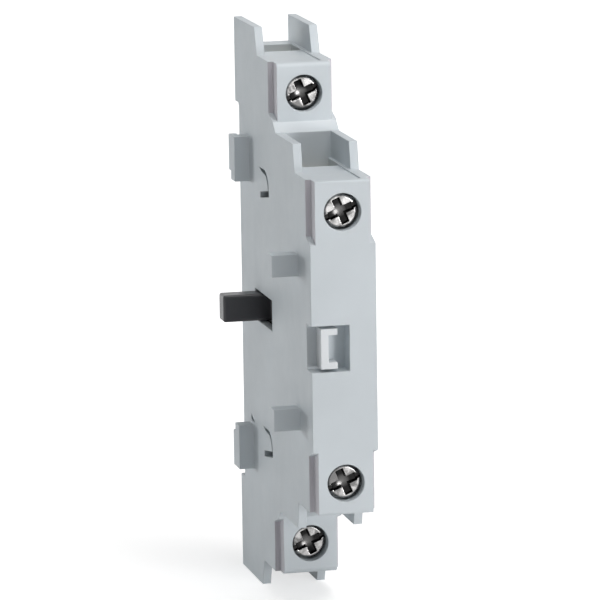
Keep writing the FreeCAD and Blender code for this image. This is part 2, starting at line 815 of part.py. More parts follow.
def make_tip(name, face, forward, thickness, sides):
    """Contact rivet: a flat head on the given face, and a shank through the metal behind it."""
    body = new_body(name)
    for part, radius, length, along in (
        ("head", S.tip_radius, S.tip_head, forward),
        ("shank", S.tip_shank_radius, thickness, not forward),
    ):
        sketch = new_sketch(body, f"{part}_sketch", "XZ_Plane", -back(face))
        for side in sides:
            draw_circle(sketch, SIDE_NAME[side], MIDDLE, S.tip_height * side, radius)
        add_along(body, part, sketch, length, along_normal=along)
    return body


def make_strip(tier, side):
    """Fixed contact strip from the terminal cage to the contact row."""
    body = new_body(f"strip_{tier.name}_{SIDE_NAME[side]}")
    half = STRIP_HALF_WIDTH
    end_half = STRIP_END_HALF_WIDTH
    shoulder = (tier.room_low + S.strip_gap) * side
    outer = (tier.screw + S.strip_end_reach) * side
    inner = S.strip_inner_end * side
    corners = [
        (MIDDLE - half, inner), (MIDDLE + half, inner), (MIDDLE + half, shoulder),
        (MIDDLE + end_half, shoulder), (MIDDLE + end_half, outer), (MIDDLE - end_half, outer),
        (MIDDLE - end_half, shoulder), (MIDDLE - half, shoulder),
    ]
    sketch = new_sketch(body, "strip_sketch", "XZ_Plane", -back(tier.strip_rear))
    draw_outline(sketch, "strip", corners)
    add_along(body, "blade", sketch, S.strip_thickness)
    hole = new_sketch(body, "hole_sketch", "XZ_Plane", -back(tier.strip_rear))
    radius = S.tip_shank_radius + S.tip_clearance
    draw_circle(hole, "hole", MIDDLE, S.tip_height * side, radius)
    cut_along(body, "hole", hole, S.strip_thickness)
    return body


def make_cage(tier, side):
    """Cage clamp: a loop of strip round the terminal end, threaded in front."""
    body = new_body(f"cage_{tier.name}_{SIDE_NAME[side]}")
    half = CAGE_HALF_WIDTH
    rear = CAGE_SETBACK
    front = CAGE_FRONT
    outer = [(-half, front), (half, front), (half, rear), (-half, rear)]
    sketch = new_sketch(body, "loop_sketch", "XY_Plane", -S.cage_height / 2)
    draw_outline(sketch, "outer", outer)
    inner_half = half - S.cage_side
    inner_rear = rear - S.cage_jaw_wall
    inner_front = front + S.cage_nut_wall
    inner = [
        (-inner_half, inner_front), (inner_half, inner_front),
        (inner_half, inner_rear), (-inner_half, inner_rear),
    ]
    draw_outline(sketch, "inner", inner)
    add_along(body, "loop", sketch, S.cage_height)
    round_edges(
        body, "loop_rounding", S.cage_round,
        lambda edge, middle: abs(abs(middle.x) - half.value) < 0.01 and abs(middle.z) < 0.01)
    nut = new_sketch(body, "nut_sketch", "XZ_Plane", -front)
    draw_circle(nut, "thread", 0.0, 0.0, S.thread_radius + S.thread_clearance)
    cut_along(body, "nut", nut, S.cage_nut_wall, along_normal=False)
    place(body, MIDDLE, back(tier.front), tier.screw * side)
    return body


def make_screw(tier, side):
    """Terminal screw: cheese head with a cross and a slot, and a shank that ends at the strip."""
    body = new_body(f"screw_{tier.name}_{SIDE_NAME[side]}")
    top = S.bore_depth - S.head_height
    tip = STRIP_SETBACK - S.rest_gap
    head = new_sketch(body, "head_sketch", "XY_Plane", 0.0)
    profile = [
        (0.0, top),
        (S.head_radius - S.head_edge, top),
        (S.head_radius, top + S.head_edge),
        (S.head_radius, S.bore_depth),
        (S.thread_radius, S.bore_depth),
        (S.thread_radius, tip - S.head_edge),
        (S.thread_radius - S.head_edge, tip),
        (0.0, tip),
    ]
    draw_outline(head, "profile", profile)
    turned = body.newObject("PartDesign::Revolution", "turned")
    turned.Profile = head
    turned.ReferenceAxis = (head, ["V_Axis"])
    turned.Angle = 360.0
    doc.recompute()
    for name, length, width, depth in (
        ("cross_up", S.cross_width, S.cross_length, S.cross_depth),
        ("cross_across", S.cross_length, S.cross_width, S.cross_depth),
        ("slot", (S.head_radius + S.slot_overrun) * 2, S.slot_width, S.slot_depth),
    ):
        sketch = new_sketch(body, f"{name}_sketch", "XZ_Plane", -top)
        corners = [
            (-length / 2, -width / 2), (length / 2, -width / 2),
            (length / 2, width / 2), (-length / 2, width / 2),
        ]
        draw_outline(sketch, name, corners)
        cut_along(body, name, sketch, depth, along_normal=False)
    turn = FreeCAD.Rotation(FreeCAD.Vector(0, -1, 0), CROSS_ANGLE)
    body.Placement = FreeCAD.Placement(FreeCAD.Vector(), turn)
    place(body, MIDDLE, back(tier.front), tier.screw * side)
    return body


def coil_shape(length, radius, wire, turns):
    """Coil spring along +Y with closed ends, as a faceted wire through sections on a helix."""
    closed = wire * CLOSED_PITCH
    climb = (length - wire - 2 * closed) / (turns - 2)
    sections = []
    for step in range(turns * COIL_SIDES + 1):
        turn = step / COIL_SIDES
        if turn < 1:
            along = turn * closed
        elif turn > turns - 1:
            along = closed + climb * (turns - 2) + (turn - turns + 1) * closed
        else:
            along = closed + (turn - 1) * climb
        angle = 2 * math.pi * turn
        outward = FreeCAD.Vector(math.cos(angle), 0, math.sin(angle))
        centre = outward * radius + FreeCAD.Vector(0, wire / 2 + along, 0)
        rim = []
        for corner in range(WIRE_SIDES + 1):
            share = 2 * math.pi * corner / WIRE_SIDES
            offset = outward * math.cos(share) + FreeCAD.Vector(0, math.sin(share), 0)
            rim.append(centre + offset * (wire / 2))
        sections.append(Part.makePolygon(rim))
    return Part.makeLoft(sections, True, True)


def make_spring(name, rear, front, radius, wire, turns):
    """Spring between two depths, with a little room at each seat."""
    length = (front - rear - S.spring_seat * 2).value
    spring = doc.addObject("Part::Feature", name)
    spring.Label = name
    spring.Shape = coil_shape(length, radius.value, wire.value, turns)
    place(spring, MIDDLE, back(front - S.spring_seat), 0.0)
    return spring


def make_all():
    parts = [make_housing(), make_cover(), make_clip(), make_slide()]
    parts.append(make_bridge("bridge_opening", OPENING_BRIDGE_REAR))
    parts.append(make_bridge("bridge_closing", CLOSING_BRIDGE_REAR))
    both = (UPPER, LOWER)
    thickness = S.bridge_thickness
    parts.append(make_tip("tips_opening", OPENING_BRIDGE_REAR, False, thickness, both))
    parts.append(make_tip("tips_closing", CLOSING_BRIDGE_FRONT, True, thickness, both))
    for tier, side in TERMINALS:
        parts.append(make_strip(tier, side))
        face = tier.strip_front if tier is REAR else tier.strip_rear
        name = f"tip_{tier.name}_{SIDE_NAME[side]}"
        parts.append(make_tip(name, face, tier is REAR, S.strip_thickness, (side,)))
        parts.append(make_cage(tier, side))
        parts.append(make_screw(tier, side))
    radius = S.contact_spring_radius
    wire = S.contact_spring_wire
    parts.append(make_spring(
        "spring_opening", OPENING_BRIDGE_FRONT, MIDDLE_BAR_REAR, radius, wire, CONTACT_TURNS))
    parts.append(make_spring(
        "spring_closing", MIDDLE_BAR_FRONT, CLOSING_BRIDGE_REAR, radius, wire, CONTACT_TURNS))
    parts.append(make_spring(
        "spring_return", SLIDE_FRONT, LANE_FRONT, S.return_spring_radius, S.return_spring_wire,
        RETURN_TURNS))
    return parts


def check_document():
    """Stop on anything that failed without raising."""
    for item in doc.Objects:
        if "Invalid" in item.State or "Error" in item.State:
            raise RuntimeError(f"{item.Name} is {item.State}")


def export(parts):
    os.makedirs("parts", exist_ok=True)
    for part in parts:
        shape = part.Shape
        if shape.isNull() or not shape.isValid():
            raise RuntimeError(f"{part.Label} has no sound shape")
        shape.exportStep(f"parts/{part.Label}.step")
        print(part.Label, round(shape.Volume, 2), len(shape.Solids))


all_parts = make_all()
doc.recompute()
check_document()
export(all_parts)
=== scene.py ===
import math

import bmesh
import bpy
import numpy as np
from mathutils import Matrix, Vector


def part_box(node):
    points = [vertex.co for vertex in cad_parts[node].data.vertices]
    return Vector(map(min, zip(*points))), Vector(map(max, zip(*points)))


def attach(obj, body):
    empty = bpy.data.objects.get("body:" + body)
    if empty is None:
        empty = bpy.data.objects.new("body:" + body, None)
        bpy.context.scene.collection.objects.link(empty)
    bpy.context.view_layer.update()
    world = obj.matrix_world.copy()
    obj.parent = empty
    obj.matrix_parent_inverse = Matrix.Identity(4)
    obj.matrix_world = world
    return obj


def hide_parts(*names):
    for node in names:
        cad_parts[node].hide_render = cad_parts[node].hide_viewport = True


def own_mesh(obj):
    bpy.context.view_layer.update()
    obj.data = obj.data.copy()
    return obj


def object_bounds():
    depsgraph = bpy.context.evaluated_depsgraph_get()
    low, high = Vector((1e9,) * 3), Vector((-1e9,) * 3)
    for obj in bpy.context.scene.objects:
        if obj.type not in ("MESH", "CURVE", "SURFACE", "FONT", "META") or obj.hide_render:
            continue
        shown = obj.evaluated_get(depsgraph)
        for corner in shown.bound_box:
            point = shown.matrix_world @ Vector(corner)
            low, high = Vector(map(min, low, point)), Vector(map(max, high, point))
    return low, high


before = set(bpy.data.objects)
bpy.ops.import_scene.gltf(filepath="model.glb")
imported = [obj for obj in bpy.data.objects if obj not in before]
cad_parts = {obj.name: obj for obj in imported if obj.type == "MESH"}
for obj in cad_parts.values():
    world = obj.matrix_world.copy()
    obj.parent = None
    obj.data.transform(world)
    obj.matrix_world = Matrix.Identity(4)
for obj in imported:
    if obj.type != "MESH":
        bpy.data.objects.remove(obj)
cad_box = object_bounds()

bl_info = {
    "name": "Auxiliary Contact Block",
    "version": (1, 0, 0),
    "blender": (4, 5, 0),
    "location": "View3D > Sidebar > Contact Block",
    "description": "Dresses a side-mounted auxiliary contact block with its finishes, screws and springs",
    "category": "Object",
}

MM = 0.001
TERMINALS = ("rear_upper", "rear_lower", "front_upper", "front_lower")
# Which of the two corners of a piece's box lies at its front, and which at its rear
FRONT = 0
REAR = 1

# For each tier, the place of its front face and the lowest and greatest height of its rabbets
RABBETS = ((-1.0 * MM, 27.7 * MM, 35.7 * MM), (-22.5 * MM, 14.0 * MM, 22.65 * MM))
RABBET_WIDTH = 0.75 * MM
RABBET_DEPTH = 2.43 * MM
HAIR = 0.03 * MM
# Greatest upward part of the normal of a face that counts as upright
UPRIGHT_SLOPE = 0.3

# Turns between two faces, in degrees: too flat for an edge, rounded, sharp, along the middle of a
# rounding, and sharp on a turned skin
FLAT_TURN = 0.6
ROUNDED_TURN = 42.0
SHARP_TURN = 30.0
RIM_TURNS = (27.0, 75.0)
SKIN_TURN = 38.0

# How near two points are one, and how wide a rounding's strips are at most, over its width
MERGE_REACH = 0.0005 * MM
STRIP_SHARE = 0.9

# Rings of a screw's skin in each run of its profile, and for each pitch of its thread
HEAD_RINGS = 46
EDGE_RINGS = 6
SIDE_RINGS = 6
UNDER_RINGS = 4
TIP_RINGS = 2
END_RINGS = 3
PITCH_RINGS = 7

# Where the thread starts and is full below the head, and where it fades and ends before the tip,
# over the radius of the head's edge
THREAD_STARTS = 0.2 * MM
THREAD_FULL = 0.9 * MM
THREAD_FADES = 1.2
THREAD_ENDS = 0.9

# How soft a recess's edges are, and how far above its underside a head can take a recess
RECESS_BLEND = 0.07 * MM
HEAD_MARGIN = 0.2 * MM

# How much of the cross's depth its floor has lost at the ends of its arms, and the climb of a
# spring's closed end turn over the thickness of its wire
CROSS_RISE = 0.45
CLOSED_TURN = 1.05

# Colours of dust, of the pale grey that edges go towards by scuffing and a painted highlight, and how
# far, and of the lamps
DUST = (0.62, 0.62, 0.60, 1.0)
EDGE_GREY = 0.75
EDGE_SHARE = 0.25
WARM = (1.0, 0.985, 0.980)
COOL = (0.945, 0.985, 1.0)

# Heights of the fine relief: grain of plastic, lines of drawn metal, rings of turned metal, paper
GRAIN_HEIGHT = 0.02 * MM
LINE_HEIGHT = 0.004 * MM
RING_HEIGHT = 0.005 * MM
FIBRE_HEIGHT = 0.05 * MM

# Points that the lamps are aimed at and that the camera's place is measured from, and how far to
# the right of the second one and above it the camera is aimed
LIT_POINT = Vector((4.5, 0.0, 0.0)) * MM
VIEWED_POINT = Vector((4.5, 7.5, -5.0)) * MM
AIM_RIGHT = 0.87 * MM
AIM_UP = 6.22 * MM


# Sizes, colours and light that a user would change

class ContactBlockSizes(bpy.types.PropertyGroup):
    """Lengths of the dressed pieces."""

    edge_round: bpy.props.FloatProperty(
        name="Edge rounding", description="Width of the rounding along moulded edges",
        default=0.07 * MM, min=0.0, unit="LENGTH", precision=5)
    slide_round: bpy.props.FloatProperty(
        name="Slide rounding", description="Width of the rounding along the slide's edges",
        default=0.1 * MM, min=0.0, unit="LENGTH", precision=5)
    head_edge: bpy.props.FloatProperty(
        name="Head edge", description="Radius of the rounding round a screw head",
        default=0.35 * MM, min=0.0, unit="LENGTH", precision=5)
    head_height: bpy.props.FloatProperty(
        name="Head height", description="Height of a screw head",
        default=1.8 * MM, min=0.0, unit="LENGTH", precision=5)
    thread_radius: bpy.props.FloatProperty(
        name="Thread radius", description="Outer radius of the screw thread",
        default=1.5 * MM, min=0.0, unit="LENGTH", precision=5)
    thread_pitch: bpy.props.FloatProperty(
        name="Thread pitch", description="Advance of the screw thread in one turn",
        default=0.5 * MM, min=0.0, unit="LENGTH", precision=5)
    thread_depth: bpy.props.FloatProperty(
        name="Thread depth", description="Depth of the thread groove",
        default=0.27 * MM, min=0.0, unit="LENGTH", precision=5)
    cross_width: bpy.props.FloatProperty(
        name="Cross width", description="Width of the arms of the cross recess",
        default=1.0 * MM, min=0.0, unit="LENGTH", precision=5)
    cross_length: bpy.props.FloatProperty(
        name="Cross length", description="Length across the cross recess",
        default=3.5 * MM, min=0.0, unit="LENGTH", precision=5)
    cross_depth: bpy.props.FloatProperty(
        name="Cross depth", description="Depth of the cross recess at its middle",
        default=1.05 * MM, min=0.0, unit="LENGTH", precision=5)
    slot_width: bpy.props.FloatProperty(
        name="Slot width", description="Width of the slot across a screw head",
        default=0.65 * MM, min=0.0, unit="LENGTH", precision=5)
    slot_depth: bpy.props.FloatProperty(
        name="Slot depth", description="Depth of the slot across a screw head",
        default=0.55 * MM, min=0.0, unit="LENGTH", precision=5)
    cross_turn: bpy.props.FloatProperty(
        name="Cross turn", description="Turn of the slot from the level, seen from the front",
        default=math.radians(23.0), unit="ROTATION")
    contact_wire: bpy.props.FloatProperty(
        name="Contact spring wire", description="Thickness of the wire of the contact springs",
        default=0.3 * MM, min=0.0, unit="LENGTH", precision=5)
    return_wire: bpy.props.FloatProperty(
        name="Return spring wire", description="Thickness of the wire of the return spring",
        default=0.4 * MM, min=0.0, unit="LENGTH", precision=5)


class ContactBlockColours(bpy.types.PropertyGroup):
    """Base colours of the finishes, in linear light."""

    moulding: bpy.props.FloatVectorProperty(
        name="Moulding", description="Grey plastic of the housing and its cover",
        default=(0.600, 0.655, 0.690), size=3, subtype="COLOR", min=0.0, max=1.0)
    # Painted shade: the rabbets get this slightly darker, purple-tinted grey in place of the shade that
    # falls in them
    rabbet: bpy.props.FloatVectorProperty(
        name="Rabbet", description="Duller, slightly purple grey in the rabbets beside the screws",
        default=(0.612, 0.606, 0.648), size=3, subtype="COLOR", min=0.0, max=1.0)
    marker: bpy.props.FloatVectorProperty(
        name="Marker", description="Off-white plastic of the marker clip",
        default=(0.735, 0.775, 0.800), size=3, subtype="COLOR", min=0.0, max=1.0)
    slide: bpy.props.FloatVectorProperty(
        name="Slide", description="Black plastic of the slide and its lever",
        default=(0.030, 0.031, 0.036), size=3, subtype="COLOR", min=0.0, max=1.0)
    screw: bpy.props.FloatVectorProperty(
        name="Screw", description="Nickel plating of the terminal screws",
        default=(0.440, 0.437, 0.434), size=3, subtype="COLOR", min=0.0, max=1.0)
    cage: bpy.props.FloatVectorProperty(
        name="Cage", description="Zinc plating of the cage clamps",
        default=(0.640, 0.610, 0.520), size=3, subtype="COLOR", min=0.0, max=1.0)
    strip: bpy.props.FloatVectorProperty(
        name="Strip", description="Rolled brass of the contact strips and bridges",
        default=(0.780, 0.560, 0.270), size=3, subtype="COLOR", min=0.0, max=1.0)
    tip: bpy.props.FloatVectorProperty(
        name="Tip", description="Silver of the contact rivets",
        default=(0.860, 0.850, 0.820), size=3, subtype="COLOR", min=0.0, max=1.0)
    spring: bpy.props.FloatVectorProperty(
        name="Spring", description="Drawn steel of the coil springs",
        default=(0.560, 0.560, 0.570), size=3, subtype="COLOR", min=0.0, max=1.0)


class ContactBlockStage(bpy.types.PropertyGroup):
    """Camera and light round the block."""

    azimuth: bpy.props.FloatProperty(
        name="Azimuth", description="Turn of the camera from the front towards the right",
        default=math.radians(-12.97), unit="ROTATION")
    elevation: bpy.props.FloatProperty(
        name="Elevation", description="Height of the camera as an angle above the level",
        default=math.radians(10.87), unit="ROTATION")
    roll: bpy.props.FloatProperty(
        name="Roll", description="Turn of the camera about its line of sight",
        default=-0.015, unit="ROTATION")
    distance: bpy.props.FloatProperty(
        name="Distance", description="Distance of the camera from the point it turns about",
        default=0.687, min=0.0, unit="LENGTH")
    lens: bpy.props.FloatProperty(
        name="Lens", description="Focal length in millimetres",
        default=296.0, min=1.0)
    key_power: bpy.props.FloatProperty(
        name="Key light", description="Power of the light in front and to the right",
        default=1.28, min=0.0, unit="POWER")
    top_power: bpy.props.FloatProperty(
        name="Top light", description="Power of the light overhead",
        default=0.37, min=0.0, unit="POWER")
    side_power: bpy.props.FloatProperty(
        name="Side light", description="Power of the light to the left and behind",
        default=1.7, min=0.0, unit="POWER")
    room_light: bpy.props.FloatProperty(
        name="Room light", description="Strength of the even light from all sides",
        default=0.15, min=0.0)


# Meshes from arrays

def link_new(name, data):
    """New object of a mesh, a lamp or a camera, in the scene."""
    made = bpy.data.objects.new(name, data)
    bpy.context.scene.collection.objects.link(made)
    return made


def rows_of(columns):
    """Arrays and numbers of like shape side by side, as the columns of one table."""
    return np.stack(np.broadcast_arrays(*columns), axis=-1).reshape(-1, len(columns))


def values_of(items, name, width=1, kind=np.float32):
    """One property of all of a mesh's items, as rows of the given width or as a plain list."""
    values = np.empty(len(items) * width, kind)
    items.foreach_get(name, values)
    return values.reshape(-1, width) if width > 1 else values


def set_marks(mesh, name, domain, values):
    layer = mesh.attributes.new(name, "FLOAT", domain)
    layer.data.foreach_set("value", values.astype(np.float32))


def tube_mesh(name, points, marks=None):
    """Skin over rings of points, an array of rings by columns by three, closed by poles.

    Each ring closes on itself. The first and the last ring are one point each, joined to their
    neighbours by fans. The UV map holds the share of a turn round the ring and the share of the
    way along the rings. Marks, an array of rings by columns, go to the attribute recess.
    """
    rings, columns = points.shape[:2]
    vertices = np.concatenate((
        points[0].mean(axis=0, keepdims=True), points[1:-1].reshape(-1, 3),
        points[-1].mean(axis=0, keepdims=True)))
    start_pole, end_pole = 0, len(vertices) - 1
    column = np.arange(columns)
    following = (column + 1) % columns
    ring = 1 + np.arange(rings - 3)[:, None] * columns
    first_ring, last_ring = 1, end_pole - columns
    quads = rows_of(
        (ring + column, ring + following, ring + columns + following, ring + columns + column))
    start_fan = rows_of((first_ring + following, first_ring + column, start_pole))
    end_fan = rows_of((last_ring + column, last_ring + following, end_pole))
    turn = column / columns
    wide = 1.0 / columns
    along = np.arange(1, rings - 2)[:, None] / (rings - 1)
    step = 1.0 / (rings - 1)
    quad_uv = rows_of((turn, along, turn + wide, along, turn + wide, along + step, turn, along + step))
    start_uv = rows_of((turn + wide, step, turn, step, turn + wide / 2, 0.0))
    end_uv = rows_of((turn, 1.0 - step, turn + wide, 1.0 - step, turn + wide / 2, 1.0))
    mesh = bpy.data.meshes.new(name)
    mesh.from_pydata(vertices.tolist(), [], quads.tolist() + start_fan.tolist() + end_fan.tolist())
    layer = mesh.uv_layers.new(name="turned")
    layer.data.foreach_set(
        "uv", np.concatenate((quad_uv.ravel(), start_uv.ravel(), end_uv.ravel())).astype(np.float32))
    if marks is not None:
        set_marks(mesh, "recess", "POINT", np.concatenate(
            (marks[0, :1], marks[1:-1].ravel(), marks[-1, :1])))
    mesh.update()
    shaped = bmesh.new()
    shaped.from_mesh(mesh)
    bmesh.ops.recalc_face_normals(shaped, faces=shaped.faces)
    shaped.to_mesh(mesh)
    shaped.free()
    mesh.polygons.foreach_set("use_smooth", np.ones(len(mesh.polygons), bool))
    mesh.set_sharp_from_angle(angle=math.radians(SKIN_TURN))
    return mesh


def smooth_step(low, high, value):
    """Rises from 0 at low to 1 at high, level at both ends."""
    share = np.clip((value - low) / (high - low), 0.0, 1.0)
    return share * share * (3.0 - 2.0 * share)


def screw_points(sizes, radius, length, columns=168):
    """Terminal screw round the Y axis, its head's top at 0 and its tip at length along +Y.

    A profile of radius and depth runs over the head, round its edge, down its side, under it and
    along the shank to the tip, and is turned through a full turn. On the head the depth is never
    less than the recess at that place: a cross whose floor slopes up to its ends, and a slot.
    On the shank the radius falls by a triangle wave of depth over pitch less the share of a turn.
    The second array holds the depth of the recess as a share of the cross's depth.
    """
    edge = sizes.head_edge
    height = sizes.head_height
    shank = sizes.thread_radius

    def steps(start, end, count):
        """Even steps from start, which is left out, to end."""
        return np.linspace(start, end, count + 1)[1:]

    bend = steps(0.0, math.pi / 2, EDGE_RINGS)
    thread = np.linspace(
        height, length - edge, int((length - height) / sizes.thread_pitch * PITCH_RINGS))
    radii = np.concatenate((
        np.linspace(0.0, radius - edge, HEAD_RINGS), radius - edge + edge * np.sin(bend),
        np.full(SIDE_RINGS, radius), np.linspace(radius, shank, UNDER_RINGS),
        np.full(len(thread) - 1, shank), steps(shank, shank - edge, TIP_RINGS),
        steps(shank - edge, 0.0, END_RINGS)))
    depths = np.concatenate((
        np.zeros(HEAD_RINGS), edge * (1.0 - np.cos(bend)), steps(edge, height, SIDE_RINGS),
        np.full(UNDER_RINGS, height), thread[1:], steps(length - edge, length, TIP_RINGS),
        np.full(END_RINGS, length)))
    angle = np.linspace(0.0, 2.0 * math.pi, columns, endpoint=False)
    radii, angles = np.broadcast_arrays(radii[:, None], angle[None, :])
    depths = np.broadcast_to(depths[:, None], radii.shape)
    phase = (depths / sizes.thread_pitch - angles / (2.0 * math.pi)) % 1.0
    wave = 1.0 - np.abs(2.0 * phase - 1.0)
    threaded = smooth_step(height + THREAD_STARTS, height + THREAD_FULL, depths)
    threaded = threaded * (1.0 - smooth_step(
        length - THREAD_FADES * edge, length - THREAD_ENDS * edge, depths))
    radii = radii - sizes.thread_depth * wave * threaded
    across = radii * np.cos(angles)
    up = radii * np.sin(angles)
    turn = sizes.cross_turn
    along = across * math.cos(turn) + up * math.sin(turn)
    beside = up * math.cos(turn) - across * math.sin(turn)

    def inside(half, value):
        return 1.0 - smooth_step(half - RECESS_BLEND, half + RECESS_BLEND, np.abs(value))

    outward = np.hypot(along, beside) / (sizes.cross_length / 2)
    floor = sizes.cross_depth * (1.0 - CROSS_RISE * outward ** 2)
    arm = np.maximum(
        inside(sizes.cross_width / 2, along) * inside(sizes.cross_length / 2, beside),
        inside(sizes.cross_width / 2, beside) * inside(sizes.cross_length / 2, along))
    slot = sizes.slot_depth * inside(sizes.slot_width / 2, beside)
    recess = np.maximum(arm * np.maximum(floor, 0.0), slot)
    on_head = depths < height - HEAD_MARGIN
    depths = np.where(on_head, np.maximum(depths, recess), depths)
    share = np.where(on_head, recess / sizes.cross_depth, 0.0)
    return np.stack((across, depths, up), axis=-1), share


def coil_points(length, radius, wire, turns, sides=12, steps=40):
    """Coil spring along +Y from 0 to length, its end turns closed.

    The middle of the wire runs round a circle while it climbs by a little more than the wire's
    thickness in each closed end turn and evenly between them. Round it runs a circle of half the
    wire's thickness in the plane across the wire, which shrinks to a point at both ends.
    """
    closed = wire * CLOSED_TURN
    climb = (length - wire - 2.0 * closed) / (turns - 2)
    turn = np.linspace(0.0, turns, turns * steps + 1)
    along = wire / 2 + np.interp(
        turn, (0.0, 1.0, turns - 1.0, turns),
        (0.0, closed, closed + climb * (turns - 2), length - wire))
    share = np.minimum(turn, turns - turn) * 2.0 * math.pi * radius / (wire / 2)
    swell = np.sqrt(np.clip(1.0 - (1.0 - np.clip(share, 0.0, 1.0)) ** 2, 0.0, 1.0))
    angle = 2.0 * math.pi * turn
    outward = np.stack((np.cos(angle), 0.0 * angle, np.sin(angle)), axis=-1)
    centre = outward * radius + np.stack((0.0 * along, along, 0.0 * along), axis=-1)
    heading = np.gradient(centre, axis=0)
    heading /= np.linalg.norm(heading, axis=1, keepdims=True)
    sideways = np.cross(heading, outward)
    rim = np.linspace(0.0, 2.0 * math.pi, sides, endpoint=False)
    ring = (outward[:, None, :] * np.cos(rim)[None, :, None]
            + sideways[:, None, :] * np.sin(rim)[None, :, None])
    return centre[:, None, :] + ring * (wire / 2 * swell)[:, None, None]


def sweep_mesh(name, half_width, front, rear, floor, rise, bend, bend_points=33, rows=9):
    """Floor that turns up into a wall behind: a level run, a quarter circle and an upright run.

    The profile of y and z is carried straight across x.
    """
    turn = np.linspace(0.0, math.pi / 2, bend_points)
    y = np.concatenate(([front], rear - bend + bend * np.sin(turn), [rear]))
    z = np.concatenate(([floor], floor + bend - bend * np.cos(turn), [floor + rise]))
    x = np.linspace(-half_width, half_width, rows)
    points = rows_of((x[:, None], y[None, :], z[None, :]))
    columns = len(y)
    start = (np.arange(rows - 1)[:, None] * columns + np.arange(columns - 1)[None, :]).ravel()
    faces = rows_of((start, start + columns, start + columns + 1, start + 1))
    mesh = bpy.data.meshes.new(name)
    mesh.from_pydata(points.tolist(), [], faces.tolist())
    mesh.polygons.foreach_set("use_smooth", np.ones(len(mesh.polygons), bool))
    return mesh


def mark_roundings(mesh, width):
    """Mark the strips along rounded edges, for the shading and for the finish.

    A polygon belongs to a rounding where twice its area over its perimeter is less than width.
    An edge is sharp where a rounding meets a flat face, and where two flat faces turn by more
    than a sharp edge's turn. The attribute rim of a point is 1 where one of its edges turns
    outwards by an amount between the rim's two turns, which is so only along the middle of a
    rounding.
    """
    count = len(mesh.polygons)
    normals = values_of(mesh.polygons, "normal", 3)
    centres = values_of(mesh.polygons, "center", 3)
    sides = values_of(mesh.polygons, "loop_total", kind=np.int32)
    face_of_loop = np.repeat(np.arange(count), sides)
    edge_of_loop = values_of(mesh.loops, "edge_index", kind=np.int32)
    points = values_of(mesh.vertices, "co", 3)
    ends = values_of(mesh.edges, "vertices", 2, np.int32)
    lengths = np.linalg.norm(points[ends[:, 0]] - points[ends[:, 1]], axis=1)
    perimeters = np.bincount(face_of_loop, lengths[edge_of_loop], count)
    rounding = 2.0 * values_of(mesh.polygons, "area") < width * perimeters

    order = np.argsort(edge_of_loop, kind="stable")
    edges, starts, uses = np.unique(edge_of_loop[order], return_index=True, return_counts=True)
    paired = uses == 2
    edges = edges[paired]
    one = face_of_loop[order[starts[paired]]]
    two = face_of_loop[order[starts[paired] + 1]]
    turn = np.degrees(np.arccos(np.clip((normals[one] * normals[two]).sum(1), -1.0, 1.0)))
    outward = ((centres[two] - centres[one]) * normals[one]).sum(1) < 0.0
    marks = np.zeros(len(mesh.vertices))
    marks[ends[edges[outward & (turn > RIM_TURNS[0]) & (turn < RIM_TURNS[1])]].ravel()] = 1.0
    set_marks(mesh, "rim", "POINT", marks)
    flat = ~rounding[one] & ~rounding[two]
    sharp = np.zeros(len(mesh.edges), bool)
    sharp[edges[(rounding[one] != rounding[two]) | (flat & (turn > SHARP_TURN))]] = True
    layer = mesh.attributes.get("sharp_edge") or mesh.attributes.new("sharp_edge", "BOOLEAN", "EDGE")
    layer.data.foreach_set("value", sharp)


def mark_rabbets(mesh):
    """Mark the polygons of the rabbets beside the screws with 1 in the attribute rabbet, where painted
    shade goes.

    A polygon is marked where it stands upright and its centre lies inside the block's flanks by
    more than a hair, nearer to a flank than a rabbet is wide, behind the front face of its tier
    by more than a hair and less than a rabbet's depth, and between the rabbet's lowest height
    and a hair below its greatest.
    """
    x, y, z = values_of(mesh.polygons, "center", 3).T
    upright = np.abs(values_of(mesh.polygons, "normal", 3)[:, 2]) < UPRIGHT_SLOPE
    far_flank = box_of("housing")[1][0]
    near = np.minimum(x, far_flank - x)
    height = np.abs(z)
    marks = np.zeros(len(mesh.polygons))
    for front, lowest, highest in RABBETS:
        behind = y - front
        inside = (near > HAIR) & (near < RABBET_WIDTH) & (behind > HAIR) & (behind < RABBET_DEPTH)
        marks[upright & inside & (height > lowest) & (height < highest - HAIR)] = 1.0
    set_marks(mesh, "rabbet", "FACE", marks)


def rounded_copy(node, name, width):
    """Copy of a CAD node with its points merged, flat faces joined and outward edges rounded."""
    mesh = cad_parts[node].data.copy()
    mesh.name = name
    merged = bmesh.new()
    merged.from_mesh(mesh)
    bmesh.ops.remove_doubles(merged, verts=merged.verts, dist=MERGE_REACH)
    bmesh.ops.dissolve_limit(
        merged, angle_limit=math.radians(FLAT_TURN), verts=merged.verts, edges=merged.edges)
    merged.to_mesh(mesh)
    merged.free()
    mesh.materials.clear()
    piece = link_new(name, mesh)
    mesh.polygons.foreach_set("use_smooth", np.ones(len(mesh.polygons), bool))
    bevel = piece.modifiers.new("rounding", "BEVEL")
    bevel.width = width
    bevel.segments = 2
    bevel.limit_method = "ANGLE"
    bevel.angle_limit = math.radians(ROUNDED_TURN)
    bevel.use_clamp_overlap = False
    bevel.loop_slide = False
    bpy.context.view_layer.update()
    finished = bpy.data.meshes.new_from_object(
        piece.evaluated_get(bpy.context.evaluated_depsgraph_get()))
    piece.modifiers.clear()
    piece.data = finished
    finished.name = name
    bpy.data.meshes.remove(mesh)
    mark_roundings(finished, STRIP_SHARE * width)
    return piece


# Shader nodes

def add(tree, kind, settings=None, inputs=None):
    """Add a shader node, set its options, and set or link its sockets."""
    node = tree.nodes.new(kind)
    for name, value in (settings or {}).items():
        setattr(node, name, value)
    for socket, value in (inputs or {}).items():
        if isinstance(value, bpy.types.NodeSocket):
            tree.links.new(value, node.inputs[socket])
        else:
            node.inputs[socket].default_value = value
    return node


